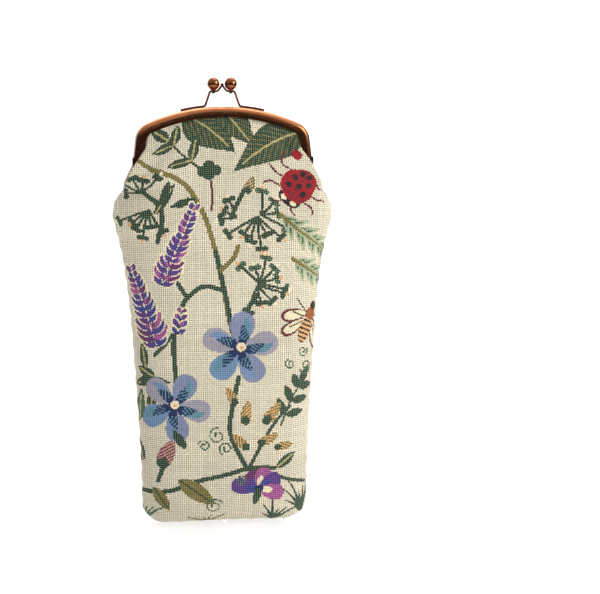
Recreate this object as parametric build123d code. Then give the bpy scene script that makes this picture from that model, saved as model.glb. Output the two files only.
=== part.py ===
from build123d import *
import math
import os

# Soft pouch glasses case with a kiss-lock purse frame.
# Millimetres. X is the width, the front looks along -Y, Z is up and the base rests on Z = 0.

# ---- Metal frame: one U-channel arch for each half ------------------------------------------
HINGE_Z = 148.0
ARCH_TOP_Z = 175.0
CROWN_RADIUS = 75.0
CROWN_HALF_ANGLE = 24.5
CORNER_RADIUS = 8.0
LEG_LEAN = 7.0
CHANNEL_DEPTH = 4.2
CHANNEL_WIDTH = 5.6
CHANNEL_WALL = 0.6
CHANNEL_FRONT_ROUND = 2.0
CHANNEL_REAR_ROUND = 0.5
HALF_GAP = 0.2
LEG_END_Z = HINGE_Z + 3.4

# ---- Hinge: overlapping tabs on a rivet, at each end of the arch ------------------------------
TAB_RADIUS = 3.0
TAB_THICK = 0.8
FRONT_TAB_X = 36.4
TAB_STEP = 0.9
BACK_TAB_X = FRONT_TAB_X - TAB_STEP
TAB_TOP = 6.4
TAB_NECK_HEIGHT = 2.85
TAB_NECK_ANGLE = 120.0
TAB_EDGE_IN = 0.6
TAB_EDGE_OUT = 5.2
JOGGLE_THICK = 1.35
RIVET_RADIUS = 1.0
RIVET_CLEARANCE = 0.05
RIVET_HEAD_RADIUS = 1.9
RIVET_HEAD_THICK = 0.7
RIVET_HEAD_ROUND = 0.5

# ---- Clasp: a foot, a springy arm with a tongue, a cup and a ball on each half ---------------
STRIP_THICK = 0.85
STRIP_NEAR = HALF_GAP + 0.3
STRIP_FAR = HALF_GAP + 2.8
FOOT_START_X = 8.3
FOOT_END_X = 17.0
FOOT_NOTCH = 1.1
FOOT_NOTCH_EDGE = 0.3
CROWN_MARGIN = 5.0
FLEX_GAP = 0.03
BALL_X = 3.5
BALL_Y = 0.9
BALL_Z = 184.3
BALL_RADIUS = 2.6
SHELF_Z = 181.2
SHANK_RADIUS = 0.5
SHANK_TAIL = 0.45
SHANK_CLEARANCE = 0.02
CLASP_CLEARANCE = 0.05
SHANK_HEAD_RADIUS = 0.75
CUP_RADIUS = 1.5
CUP_FOOT_RADIUS = 1.05
CUP_TOP_Z = BALL_Z - 0.82 * BALL_RADIUS
RISER_FOOT = 1.35
RISER_HEAD = 3.35
ARM_RISE = 0.15
ARM_BEND_RADII = [1.2, 0.7, 1.3]
ARM_LEAN_Z = ARCH_TOP_Z + 1.2
SHELF_LOW_Z = SHELF_Z - 0.8
SHELF_HIGH_Z = SHELF_Z + 0.45
TONGUE_LOW_Z = SHELF_Z + 0.75
TONGUE_START_X = 1.85
TONGUE_END_X = -0.55
ARM_TOP_NEAR = -0.15
ARM_TOP_FAR = 1.95
TONGUE_NEAR = 0.25
TONGUE_FAR = 1.65

# ---- Textile layers, from the outside in ------------------------------------------------------
OUTER_THICK = 0.9
PADDING_THICK = 2.5
LINING_THICK = 0.5
LAYERS = [
    ("outer_panel", 0.0, OUTER_THICK),
    ("padding", OUTER_THICK, OUTER_THICK + PADDING_THICK),
    ("lining", OUTER_THICK + PADDING_THICK, OUTER_THICK + PADDING_THICK + LINING_THICK),
]

# Height, half width and half thickness of the closed pouch below the hinges.
POUCH_SECTIONS = [
    (0.0, 29.0, 5.6),
    (2.5, 33.3, 7.3),
    (9.0, 35.6, 8.7),
    (34.0, 36.4, 10.3),
    (63.0, 37.9, 11.3),
    (93.0, 40.0, 11.9),
    (119.0, 43.7, 11.6),
    (132.0, 46.2, 10.9),
    (142.0, 42.4, 9.6),
]
POUCH_TOP_Z = POUCH_SECTIONS[-1][0]
BODY_RIM_Z = HINGE_Z - 7.5

# The fabric above the hinges: a plate whose border fills the channel, with a shallow dome.
PLATE_OUTER_Y = 4.9
PLATE_START_Z = HINGE_Z + 0.5
CHANNEL_TUCK = 1.2
PADDING_TUCK = CHANNEL_DEPTH + 0.6
DOME_HEIGHT = 3.6
DOME_RADIUS = 24.0
DOME_Z = 145.0
SHOULDER_X = 34.0
SHOULDER_Z = HINGE_Z + 7.0

# ---- Sewing threads and the paper cord in the channels --------------------------------------
THREAD_THICK = 0.4
OUTER_THREAD_DEPTH = 0.25
LINING_THREAD_DEPTH = OUTER_THICK + PADDING_THICK + 0.1
LINING_THREAD_THICK = 0.3
BOTTOM_SEAM_Z = 9.0
CORD_RADIUS = 1.05
CORD_INSET = 2.3
CORD_Y = 2.75

BIG = 400.0

FRONT = -1
BACK = 1


def polar(radius, degrees_from_up):
    """A point at a radius from the origin, by its angle from straight up."""
    angle = math.radians(degrees_from_up)
    return Vector(radius * math.sin(angle), radius * math.cos(angle))


def arch_points(inset, bottom_z):
    """The corner points of the right half of the arch, moved inwards by inset."""
    crown_centre = Vector(0, ARCH_TOP_Z - CROWN_RADIUS)
    crown_end = crown_centre + polar(CROWN_RADIUS - inset, CROWN_HALF_ANGLE)
    corner_centre = crown_centre + polar(CROWN_RADIUS - CORNER_RADIUS, CROWN_HALF_ANGLE)
    corner_radius = CORNER_RADIUS - inset
    corner_middle_angle = (CROWN_HALF_ANGLE + 90 - LEG_LEAN) / 2
    corner_middle = corner_centre + polar(corner_radius, corner_middle_angle)
    corner_end = corner_centre + polar(corner_radius, 90 - LEG_LEAN)
    drop = corner_end.Y - bottom_z
    leg_end = corner_end + Vector(drop * math.tan(math.radians(LEG_LEAN)), -drop)
    return crown_end, corner_middle, corner_end, leg_end


def mirrored(point):
    """The same point on the left side."""
    return Vector(-point.X, point.Y)


def arch_curve(inset, bottom_z):
    """The arch from the left leg's end over the crown to the right leg's end."""
    crown_end, corner_middle, corner_end, leg_end = arch_points(inset, bottom_z)
    crown_top = Vector(0, ARCH_TOP_Z - inset)
    return Curve() + [
        Line(mirrored(leg_end), mirrored(corner_end)),
        ThreePointArc(mirrored(corner_end), mirrored(corner_middle), mirrored(crown_end)),
        ThreePointArc(mirrored(crown_end), crown_top, crown_end),
        ThreePointArc(crown_end, corner_middle, corner_end),
        Line(corner_end, leg_end),
    ]


def arch_area(inset, bottom_z):
    """The flat area inside the arch, down to a level line."""
    leg_end = arch_points(inset, bottom_z)[-1]
    outline = arch_curve(inset, bottom_z) + Line(leg_end, mirrored(leg_end))
    return make_face(outline.edges())


def span_y(area, low_y, high_y):
    """Extrude an area of the XZ plane between two places along Y."""
    solid = extrude(Plane.XZ * area, amount=-(high_y - low_y))
    return Pos(0, low_y, 0) * solid


def span_x(area, low_x, high_x):
    """Extrude an area of the YZ plane between two places along X."""
    solid = extrude(Plane.YZ * area, amount=high_x - low_x)
    return Pos(low_x, 0, 0) * solid


def block(low, high):
    """A box from its lowest and highest corners."""
    size = [b - a for a, b in zip(low, high)]
    middle = [(a + b) / 2 for a, b in zip(low, high)]
    return Pos(*middle) * Box(*size)


def turned_to_back(shape):
    """The back half is the front half turned half a turn about Z."""
    return Rot(0, 0, 180) * shape


# ---- Frame halves -----------------------------------------------------------------------------

def channel_section():
    """The U of the front channel: X runs inwards from the outline, Y is the row's Y."""
    front_y = -(HALF_GAP + CHANNEL_WIDTH)
    rear_y = -HALF_GAP
    outside = Polyline((CHANNEL_DEPTH, front_y), (0, front_y), (0, rear_y), (CHANNEL_DEPTH, rear_y), close=True)
    outer = make_face(outside.edges())
    outer = round_corner(outer, (0, front_y), CHANNEL_FRONT_ROUND)
    outer = round_corner(outer, (0, rear_y), CHANNEL_REAR_ROUND)
    front_y += CHANNEL_WALL
    rear_y -= CHANNEL_WALL
    inside_depth = CHANNEL_DEPTH + CHANNEL_WALL
    inside = Polyline(
        (inside_depth, front_y), (CHANNEL_WALL, front_y), (CHANNEL_WALL, rear_y), (inside_depth, rear_y), close=True
    )
    inner = make_face(inside.edges())
    inner = round_corner(inner, (CHANNEL_WALL, front_y), CHANNEL_FRONT_ROUND - CHANNEL_WALL)
    return outer - inner


def round_corner(area, corner, radius):
    """Round the one corner of a flat area that lies at a point."""
    nearest = area.vertices().sort_by(lambda v: (v.X - corner[0]) ** 2 + (v.Y - corner[1]) ** 2)[0]
    return fillet(nearest, radius)


def channel_arch():
    """The front half's channel, swept along the arch."""
    path = Plane.XZ * arch_curve(0, LEG_END_Z)
    start = -arch_points(0, LEG_END_Z)[-1].X
    lean = math.radians(LEG_LEAN)
    upwards = (math.sin(lean), 0, math.cos(lean))
    inwards = (math.cos(lean), 0, -math.sin(lean))
    section_plane = Plane(origin=(start, 0, LEG_END_Z), x_dir=inwards, z_dir=upwards)
    return sweep(section_plane * channel_section(), path=path)


def hinge_tab(low_x):
    """A flat tab around one hinge, reaching up and forwards into the front channel."""
    disc = Pos(0, HINGE_Z) * Circle(TAB_RADIUS)
    neck_foot = polar(TAB_RADIUS, TAB_NECK_ANGLE)
    neck = make_face(Polyline(
        (-TAB_EDGE_OUT, HINGE_Z + TAB_TOP),
        (-TAB_EDGE_IN, HINGE_Z + TAB_TOP),
        (-TAB_EDGE_IN, HINGE_Z + TAB_NECK_HEIGHT),
        (0, HINGE_Z),
        (-neck_foot.X, HINGE_Z + neck_foot.Y),
        (-TAB_EDGE_OUT, LEG_END_Z),
        close=True,
    ).edges())
    hole = Pos(0, HINGE_Z) * Circle(RIVET_RADIUS + RIVET_CLEARANCE)
    return span_x(disc + neck - hole, low_x, low_x + TAB_THICK)


def joggle(low_x):
    """The step that joins an inner tab to its channel."""
    return block(
        (low_x, -TAB_EDGE_OUT, LEG_END_Z + 0.1),
        (low_x + JOGGLE_THICK, -TAB_EDGE_IN - CHANNEL_WALL / 2, HINGE_Z + TAB_TOP),
    )


def mirror_x(shape):
    """The same shape on the other side of the case."""
    return mirror(shape, about=Plane.YZ)


def frame_half(outside_tabs):
    """One half of the frame, drawn as the front half."""
    shape = channel_arch()
    if outside_tabs:
        tab = hinge_tab(FRONT_TAB_X)
    else:
        tab = hinge_tab(BACK_TAB_X) + joggle(BACK_TAB_X)
    return shape + tab + mirror_x(tab)


def hinge_rivet():
    """The rivet of the right hinge, with its outer and inner heads."""
    inner_x = BACK_TAB_X - RIVET_CLEARANCE
    outer_x = FRONT_TAB_X + TAB_THICK + RIVET_CLEARANCE
    length = outer_x - inner_x
    shank = Pos(inner_x + length / 2, 0, HINGE_Z) * Rot(0, 90, 0) * Cylinder(RIVET_RADIUS, length)
    head = Cylinder(RIVET_HEAD_RADIUS, RIVET_HEAD_THICK)
    head = fillet(head.edges().sort_by(Axis.Z)[-1], RIVET_HEAD_ROUND)
    outer_head = Pos(outer_x + RIVET_HEAD_THICK / 2, 0, HINGE_Z) * Rot(0, 90, 0) * head
    inner_head = Pos(inner_x - RIVET_HEAD_THICK / 2, 0, HINGE_Z) * Rot(0, -90, 0) * head
    return shank + outer_head + inner_head


# ---- Clasp, drawn for the front half on the right ---------------------------------------------

def crown_height(x, lift):
    """The height of the crown at x, raised along its radius by lift."""
    return ARCH_TOP_Z - CROWN_RADIUS + math.sqrt((CROWN_RADIUS + lift) ** 2 - x ** 2)


def clasp_foot():
    """The flat foot that is soldered on the crown, with a fishtail end."""
    ring = Circle(CROWN_RADIUS + STRIP_THICK) - Circle(CROWN_RADIUS)
    ring = Pos(0, ARCH_TOP_Z - CROWN_RADIUS) * ring
    middle_x = (FOOT_START_X + FOOT_END_X) / 2
    window = Pos(middle_x, ARCH_TOP_Z) * Rectangle(FOOT_END_X - FOOT_START_X, 2 * CROWN_MARGIN)
    foot = span_y(ring & window, -STRIP_FAR, -STRIP_NEAR)
    middle_y = -(STRIP_NEAR + STRIP_FAR) / 2
    notch = make_face(Polyline(
        (FOOT_END_X + FOOT_NOTCH / 2, -STRIP_FAR + FOOT_NOTCH_EDGE),
        (FOOT_END_X + FOOT_NOTCH / 2, -STRIP_NEAR - FOOT_NOTCH_EDGE),
        (FOOT_END_X - FOOT_NOTCH, middle_y),
        close=True,
    ).edges())
    return foot - Pos(0, 0, ARCH_TOP_Z - CROWN_MARGIN) * extrude(notch, amount=2 * CROWN_MARGIN)


def arm_path():
    """The middle line of the arm: off the foot, up, under the ball and on into the tongue."""
    start = (FOOT_START_X, crown_height(FOOT_START_X, STRIP_THICK / 2))
    return FilletPolyline(
        start,
        (FOOT_START_X - RISER_FOOT, start[1] + ARM_RISE),
        (FOOT_START_X - RISER_HEAD, SHELF_Z),
        (TONGUE_START_X, SHELF_Z),
        (TONGUE_END_X, BALL_Z),
        radius=ARM_BEND_RADII,
    )


def arm_side_view():
    """The arm seen from the side: it leans from its foot towards the middle of the case."""
    return make_face(Polyline(
        (-STRIP_FAR, ARCH_TOP_Z - STRIP_THICK),
        (-STRIP_NEAR, ARCH_TOP_Z - STRIP_THICK),
        (-STRIP_NEAR, ARM_LEAN_Z),
        (-ARM_TOP_NEAR, SHELF_LOW_Z),
        (-ARM_TOP_NEAR, SHELF_HIGH_Z),
        (-TONGUE_NEAR, TONGUE_LOW_Z),
        (-TONGUE_NEAR, BALL_Z + STRIP_THICK),
        (-TONGUE_FAR, BALL_Z + STRIP_THICK),
        (-TONGUE_FAR, TONGUE_LOW_Z),
        (-ARM_TOP_FAR, SHELF_HIGH_Z),
        (-ARM_TOP_FAR, SHELF_LOW_Z),
        (-STRIP_FAR, ARM_LEAN_Z),
        close=True,
    ).edges())


def clasp_arm():
    """The springy strip between the foot and the end of the tongue, with the ball's hole."""
    path = Plane.XZ * arm_path()
    start = path @ 0
    along = path % 0
    section_plane = Plane(origin=start, x_dir=(0, 1, 0), z_dir=along)
    strip = sweep(section_plane * Rectangle(3 * STRIP_FAR, STRIP_THICK), path=path)
    strip = strip & span_x(arm_side_view(), -BALL_X, FOOT_START_X - FLEX_GAP)
    hole = Pos(BALL_X, -BALL_Y, SHELF_Z) * Cylinder(SHANK_RADIUS + SHANK_CLEARANCE, 4 * STRIP_THICK)
    return strip - hole


def clasp_ball():
    """The ball and its shank, which goes through the cup and the arm and is peened below."""
    ball = Pos(BALL_X, -BALL_Y, BALL_Z) * Sphere(BALL_RADIUS)
    arm_under = SHELF_Z - STRIP_THICK / 2
    shank_low = arm_under - SHANK_TAIL - CLASP_CLEARANCE
    shank_height = BALL_Z - shank_low
    shank = Pos(BALL_X, -BALL_Y, shank_low + shank_height / 2) * Cylinder(SHANK_RADIUS, shank_height)
    tail = Pos(BALL_X, -BALL_Y, shank_low + SHANK_TAIL / 2) * Cylinder(SHANK_HEAD_RADIUS, SHANK_TAIL)
    return ball + shank + tail


def ball_cup():
    """The cup between the ball and the arm."""
    low_z = SHELF_Z + STRIP_THICK / 2 + CLASP_CLEARANCE
    height = CUP_TOP_Z - low_z
    cup = Pos(BALL_X, -BALL_Y, low_z + height / 2) * Cone(CUP_FOOT_RADIUS, CUP_RADIUS, height)
    ball = Pos(BALL_X, -BALL_Y, BALL_Z) * Sphere(BALL_RADIUS)
    hole = Pos(BALL_X, -BALL_Y, low_z) * Cylinder(SHANK_RADIUS, 4 * height)
    return cup - ball - hole


# ---- Textiles below the hinges: closed bodies, one inside the other ------------------------

def pouch_body(depth):
    """The pouch's closed shape at a depth below its outer surface."""
    sections = Sketch()
    for height, half_width, half_thick in POUCH_SECTIONS:
        raised = height + depth * (1 - height / POUCH_TOP_Z)
        sections += Pos(0, 0, raised) * Ellipse(half_width - depth, half_thick - depth)
    return loft(sections.faces())


def body_layer(outer_depth, inner_depth):
    """The shell between two depths, open at the rim under the hinges."""
    shell = pouch_body(outer_depth) - pouch_body(inner_depth)
    return shell & block((-BIG, -BIG, -BIG), (BIG, BIG, BODY_RIM_Z))


def side_of(shape, side):
    """The front or the back of a shape."""
    if side == FRONT:
        return shape & block((-BIG, -BIG, -BIG), (BIG, 0, BIG))
    return shape & block((-BIG, 0, -BIG), (BIG, BIG, BIG))


def seam_strand(depth, thick):
    """The sewing thread in the seam: a strand down one side, under the bottom and up the other."""
    half = thick / 2
    return body_layer(depth, depth + thick) & block((-BIG, -half, -BIG), (BIG, half, BIG))


# ---- Textiles above the hinges ---------------------------------------------------------------

def domed_block(face_y, tuck):
    """All that lies behind a panel face: the arch's area with a shallow dome on its front."""
    plate = span_y(arch_area(tuck, PLATE_START_Z), -face_y, HALF_GAP)
    sphere_radius = (DOME_RADIUS ** 2 + DOME_HEIGHT ** 2) / (2 * DOME_HEIGHT)
    dome = Pos(0, sphere_radius - DOME_HEIGHT - face_y, DOME_Z) * Sphere(sphere_radius)
    dome = dome & block((-BIG, -BIG, PLATE_START_Z), (BIG, -face_y + 0.01, BIG))
    return plate + dome


def top_layer(outer_depth, inner_depth, tuck):
    """One layer of the front panel above the hinges, cut clear of the hinge rivets."""
    layer = domed_block(PLATE_OUTER_Y - outer_depth, tuck) - domed_block(PLATE_OUTER_Y - inner_depth, CHANNEL_WALL)
    for sign in (-1, 1):
        ends = sorted((sign * SHOULDER_X, sign * BIG))
        layer = layer - block((ends[0], -BIG, -BIG), (ends[1], BIG, SHOULDER_Z))
    return layer


def channel_cord():
    """The paper cord that wedges the fabric in the front channel."""
    path = Plane.XZ * arch_curve(CORD_INSET, SHOULDER_Z)
    path = Pos(0, -CORD_Y, 0) * path
    section_plane = Plane(origin=path @ 0, z_dir=path % 0)
    return sweep(section_plane * Circle(CORD_RADIUS), path=path)


# ---- The nodes --------------------------------------------------------------------------------

def metal_nodes():
    rivet = hinge_rivet()
    front = {
        "clasp_foot": clasp_foot(),
        "clasp_arm": clasp_arm(),
        "clasp_ball": clasp_ball(),
        "ball_cup": ball_cup(),
    }
    nodes = {
        "front_frame": frame_half(outside_tabs=True),
        "back_frame": turned_to_back(frame_half(outside_tabs=False)),
        "right_hinge_rivet": rivet,
        "left_hinge_rivet": mirror_x(rivet),
    }
    for name, shape in front.items():
        nodes["front_" + name] = shape
        nodes["back_" + name] = turned_to_back(shape)
    return nodes


def thread_nodes(outer_strand, lining_strand):
    bottom = block((-BIG, -BIG, -BIG), (BIG, BIG, BOTTOM_SEAM_Z))
    right = block((0, -BIG, BOTTOM_SEAM_Z), (BIG, BIG, BIG))
    left = block((-BIG, -BIG, BOTTOM_SEAM_Z), (0, BIG, BIG))
    return {
        "bottom_seam_thread": outer_strand & bottom,
        "right_seam_thread": outer_strand & right,
        "left_seam_thread": outer_strand & left,
        "lining_seam_thread": lining_strand,
    }


def textile_nodes(outer_strand, lining_strand):
    strands = {"outer_panel": outer_strand, "lining": lining_strand}
    nodes = {}
    for name, outer_depth, inner_depth in LAYERS:
        shell = body_layer(outer_depth, inner_depth)
        for side, half in (("front_", FRONT), ("back_", BACK)):
            panel = side_of(shell, half)
            if name in strands:
                panel = panel - strands[name]
            nodes[side + name] = panel
        tuck = PADDING_TUCK if name == "padding" else CHANNEL_TUCK
        top = top_layer(outer_depth, inner_depth, tuck)
        nodes["front_" + name + "_top"] = top
        nodes["back_" + name + "_top"] = turned_to_back(top)
    nodes["front_channel_cord"] = channel_cord()
    nodes["back_channel_cord"] = turned_to_back(channel_cord())
    return nodes


def all_nodes():
    outer_strand = seam_strand(OUTER_THREAD_DEPTH, THREAD_THICK)
    lining_strand = seam_strand(LINING_THREAD_DEPTH, LINING_THREAD_THICK)
    return {
        **metal_nodes(),
        **thread_nodes(outer_strand, lining_strand),
        **textile_nodes(outer_strand, lining_strand),
    }


os.makedirs("parts", exist_ok=True)
for node, shape in all_nodes().items():
    export_step(shape, f"parts/{node}.step")
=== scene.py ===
import bpy
import math
import numpy as np
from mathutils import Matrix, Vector


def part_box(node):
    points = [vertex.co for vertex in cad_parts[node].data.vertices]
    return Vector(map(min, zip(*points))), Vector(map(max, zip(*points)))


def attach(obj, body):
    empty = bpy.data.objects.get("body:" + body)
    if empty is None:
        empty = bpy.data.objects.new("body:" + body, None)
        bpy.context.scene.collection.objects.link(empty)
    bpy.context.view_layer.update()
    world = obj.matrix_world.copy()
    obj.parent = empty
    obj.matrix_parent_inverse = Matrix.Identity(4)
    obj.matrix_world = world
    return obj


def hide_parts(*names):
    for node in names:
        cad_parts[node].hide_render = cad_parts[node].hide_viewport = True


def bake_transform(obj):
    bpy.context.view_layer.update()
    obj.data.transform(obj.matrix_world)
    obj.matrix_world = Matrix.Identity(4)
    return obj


# Soft pouch glasses case with a kiss-lock frame. Blender works in metres; the fabric is laid out in
# millimetres and turned into metres when its mesh is made.

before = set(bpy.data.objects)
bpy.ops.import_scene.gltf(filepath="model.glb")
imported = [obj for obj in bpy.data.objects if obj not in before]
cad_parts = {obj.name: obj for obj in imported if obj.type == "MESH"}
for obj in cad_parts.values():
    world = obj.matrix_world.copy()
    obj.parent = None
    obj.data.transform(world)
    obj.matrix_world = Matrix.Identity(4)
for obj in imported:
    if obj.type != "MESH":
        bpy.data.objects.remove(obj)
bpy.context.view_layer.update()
MM = 0.001
ARCH_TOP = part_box("front_frame")[1].z / MM
SIDES = {"front": -1.0, "back": 1.0}

# The frame's arch, as the CAD model has it.
CROWN_RADIUS = 75.0
CROWN_HALF_ANGLE = math.radians(24.5)
CORNER_RADIUS = 8.0
CORNER_PULL = 0.4
LEG_LEAN = math.radians(7.0)
LIP = 4.2
GROOVE = 2.1

# Outline of the closed pouch: height against half width, from the base up to the frame.
HALF_WIDTH = [
    (0.0, 26.0), (0.7, 28.8), (2.5, 32.2), (5.0, 34.3), (9.0, 35.5), (20.0, 35.7), (34.0, 36.2), (63.0, 37.8),
    (93.0, 40.0), (110.0, 42.0), (121.0, 44.2), (127.0, 45.7), (131.5, 46.4), (135.5, 45.6), (139.5, 43.5),
    (144.0, 40.7), (148.7, 38.1), (152.0, 36.5), (155.0, 34.6), (159.0, 31.9), (162.7, 30.0), (165.0, 29.5),
]
# Half thickness at the middle of the width.
HALF_DEPTH = [
    (0.0, 0.6), (0.35, 3.2), (1.2, 5.2), (3.0, 6.9), (7.0, 8.4), (15.0, 9.5), (34.0, 10.5), (63.0, 11.3),
    (93.0, 11.9), (119.0, 11.7), (132.0, 11.2), (142.0, 10.4), (149.0, 9.6), (155.0, 8.3), (160.5, 6.9),
    (163.5, 5.35), (165.4, 4.5),
]
EDGE_TOP = 165.4
# A control point at the widest place stands out this much, so that the curve itself is as wide as the
# outline.
OVERSHOOT = 0.055
SEAM_TOP = 144.0
# Heights between which the section changes: from a plain lens to the shape beside the legs, where it rolls
# over the fold, where it opens for the hinge, where it enters the channel, and where the turned edges start.
UPPER_SECTION = (139.0, 144.6)
ROLL = (161.0, 151.0)
HINGE_ROOM = (152.5, 149.0)
CHANNEL = (162.8, EDGE_TOP)
TURNED_EDGE = (136.0, 141.0)
# The angles of a lens's control points, how square the lens is, and the least half thickness of a layer.
LENS_ANGLES = np.radians([0, 20, 40, 57, 71, 80, 86, 90])
LENS_POWER = 0.74
LEAST_THICK = 0.15


# ---- Small maths ----------------------------------------------------------------------------

def smooth(low, high, value):
    part = np.clip((value - low) / (high - low), 0.0, 1.0)
    return part * part * (3 - 2 * part)


def through(points, value):
    """A smooth curve through given points, without overshoot."""
    x, y = np.array(points, float).T
    step = np.diff(x)
    rise = np.diff(y) / step
    slope = np.zeros_like(x)
    same = rise[1:] * rise[:-1] > 0
    slope[1:-1] = np.where(same, 2 * rise[1:] * rise[:-1] / np.where(same, rise[1:] + rise[:-1], 1.0), 0.0)
    slope[0], slope[-1] = rise[0], rise[-1]
    value = np.clip(value, x[0], x[-1])
    i = np.clip(np.searchsorted(x, value, side="right") - 1, 0, len(x) - 2)
    f = (value - x[i]) / step[i]
    return (
        y[i] * (1 + 2 * f) * (1 - f) ** 2 + slope[i] * step[i] * f * (1 - f) ** 2
        + y[i + 1] * f * f * (3 - 2 * f) + slope[i + 1] * step[i] * f * f * (f - 1)
    )


def cubic_parts(f):
    """The weights of a uniform cubic B-spline's four points, at f from the second to the third."""
    return [
        (1 - f) ** 3 / 6, (3 * f**3 - 6 * f**2 + 4) / 6, (-3 * f**3 + 3 * f**2 + 3 * f + 1) / 6, f**3 / 6,
    ]


def spline_basis(count, samples):
    """Weights of a uniform cubic B-spline that starts at its first point and ends at its last."""
    padded = count + 4
    t = np.linspace(0, padded - 3, samples)
    i = np.minimum(t.astype(int), padded - 4)
    weights = np.zeros((samples, count))
    for k, part in enumerate(cubic_parts(t - i)):
        weights[np.arange(samples), np.clip(i + k - 2, 0, count - 1)] += part
    return weights


def leg_x(height, inset):
    """Half width of the arch's leg at a height, inset from the outer outline."""
    crown_centre = ARCH_TOP - CROWN_RADIUS
    reach = CROWN_RADIUS - CORNER_RADIUS
    corner_x = reach * math.sin(CROWN_HALF_ANGLE)
    corner_z = crown_centre + reach * math.cos(CROWN_HALF_ANGLE)
    end_x = corner_x + (CORNER_RADIUS - inset) * math.cos(LEG_LEAN)
    end_z = corner_z + (CORNER_RADIUS - inset) * math.sin(LEG_LEAN)
    below, above = np.maximum(end_z - height, 0.0), np.maximum(height - end_z, 0.0)
    return end_x + below * math.tan(LEG_LEAN) - CORNER_PULL * above


def crown_drop(x, inset):
    """How far the crown lies under its highest point at x."""
    radius = CROWN_RADIUS - inset
    return radius - np.sqrt(np.maximum(radius**2 - x**2, 1.0))


# Rows of the cloth rise in the middle to follow the crown between these heights.
ARCH_START = 95.0
ARCH_END = 162.0
CORNER_X = 30.2
CORNER_DROP = crown_drop(CORNER_X, LIP)
# The weave's last columns before a seam widen, and a turned edge is free this far past the leg's lip.
LAST_STEPS = 24
FREE_EDGE = 1.0
# How far the base sags between the bottom corners, up to a height, and half the width that does.
SAG, SAG_TOP, SAG_HALF = 0.9, 12.0, 30.0


# ---- The pouch's surface -------------------------------------------------------------------

def section_points(height, depth):
    """Control points of the half section at each height: X outwards, Y away from the middle plane."""
    width = through(HALF_WIDTH, height)
    thick = through(HALF_DEPTH, height)
    low_x = (width - depth)[:, None] * np.sin(LENS_ANGLES) ** LENS_POWER
    low_y = np.maximum(thick - depth, LEAST_THICK)[:, None] * np.cos(LENS_ANGLES)
    # Above, the points run from the middle over the face and its cheek, round the fold beside the leg's lip,
    # and back to the inside of the channel.
    lip = leg_x(height, LIP)
    face = thick - depth
    roll, groove, hinge = smooth(*ROLL, height), smooth(*CHANNEL, height), smooth(*HINGE_ROOM, height)
    reach = width - 0.6 * depth
    fold_y = 5.4 + 1.9 * roll - depth * 0.9
    cheek_y = np.maximum(face * 0.9, fold_y + 0.5 * roll)
    inner_x = np.minimum(lip + LIP - GROOVE, 34.2 + 0 * lip)
    inner_y = (4.35 - depth * 0.8) * (1 - 0.8 * hinge) + 0.25 * depth * hinge
    up_x = np.stack([
        0 * width, 0.36 * reach, 0.66 * reach, 0.88 * reach, (1 + OVERSHOOT * roll) * reach - 0.5 * groove,
        lip - 0.4 + 1.6 * hinge, lip - 0.3 + 2.2 * hinge, inner_x,
    ], axis=1)
    up_y = np.stack([
        face, face * 0.99, face * 0.965, cheek_y, fold_y,
        5.5 + 0.6 * roll - depth * 0.9, 5.0 + 0 * roll - depth * 0.85, inner_y,
    ], axis=1)
    mix = smooth(*UPPER_SECTION, height)[:, None]
    return low_x * (1 - mix) + up_x * mix, low_y * (1 - mix) + up_y * mix


def surface(columns, rows, depth=0.0, pitch=None, hem=False):
    """A grid over one side, from seam to seam and from the base to the frame.

    With a pitch, its columns are that far apart and stop at the seams, the last ones wider where the panel
    is widest. Without one, they fan out evenly. A layer with a hem stops short of the fold behind the hinges.
    """
    fine = np.linspace(0.0, EDGE_TOP, 900)
    rise = smooth(ARCH_START, ARCH_END, fine) * CORNER_DROP
    run = np.hypot(np.diff(fine + rise), np.diff(through(HALF_DEPTH, fine)))
    length = np.concatenate([[0.0], np.cumsum(run)])
    up = np.linspace(0, length[-1], rows)
    height = np.interp(up, length, fine)
    cx, cy = section_points(height, depth)
    basis = spline_basis(cx.shape[1], 160)
    px, py = cx @ basis.T, cy @ basis.T
    walks = np.pad(np.cumsum(np.hypot(np.diff(px, axis=1), np.diff(py, axis=1)), axis=1), ((0, 0), (1, 0)))
    reach = walks[:, -1]
    past_leg = px >= leg_x(height, LIP)[:, None] + FREE_EDGE
    turn_in = np.where(past_leg.any(axis=1), past_leg.argmax(axis=1), px.shape[1] - 1)
    fold = (reach - walks[np.arange(rows), turn_in]) * smooth(*TURNED_EDGE, height)
    fold = np.convolve(np.pad(fold, 4, mode="edge"), np.full(9, 1 / 9), mode="valid")
    half = columns // 2
    steps = np.arange(half + 1)
    right = np.zeros((3, rows, half + 1))
    for r, walk in enumerate(walks):
        if pitch:
            spare = max(reach[r] - half * pitch, 0.0)
            stops = np.minimum(steps * pitch + spare * smooth(half - LAST_STEPS, half, steps), reach[r])
        else:
            stops = np.linspace(0, reach[r] - hem * fold[r], half + 1)
        right[:, r] = np.interp(stops, walk, px[r]), np.interp(stops, walk, py[r]), stops
    left = right[:, :, :0:-1] * np.array([-1.0, 1.0, -1.0])[:, None, None]
    x, y, across = np.concatenate([left, right], axis=2)
    weight = smooth(ARCH_START, ARCH_END, height)[:, None]
    z = height[:, None] + weight * (CORNER_DROP - crown_drop(np.minimum(np.abs(x), CORNER_X), LIP))
    sag = SAG * smooth(SAG_TOP, 0.0, height)[:, None] * (1 - (x / SAG_HALF) ** 2)
    points = np.stack([x, y, z + np.maximum(sag, 0.0)], axis=2)
    return {"points": points, "across": across, "up": np.repeat(up[:, None], columns, axis=1), "reach": reach}


def grid_faces(rows, columns, first=0, flip=False):
    r, c = np.meshgrid(np.arange(rows - 1), np.arange(columns - 1), indexing="ij")
    a = first + r * columns + c
    quad = np.stack([a, a + 1, a + columns + 1, a + columns], axis=-1).reshape(-1, 4)
    return quad[:, ::-1] if flip else quad


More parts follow.
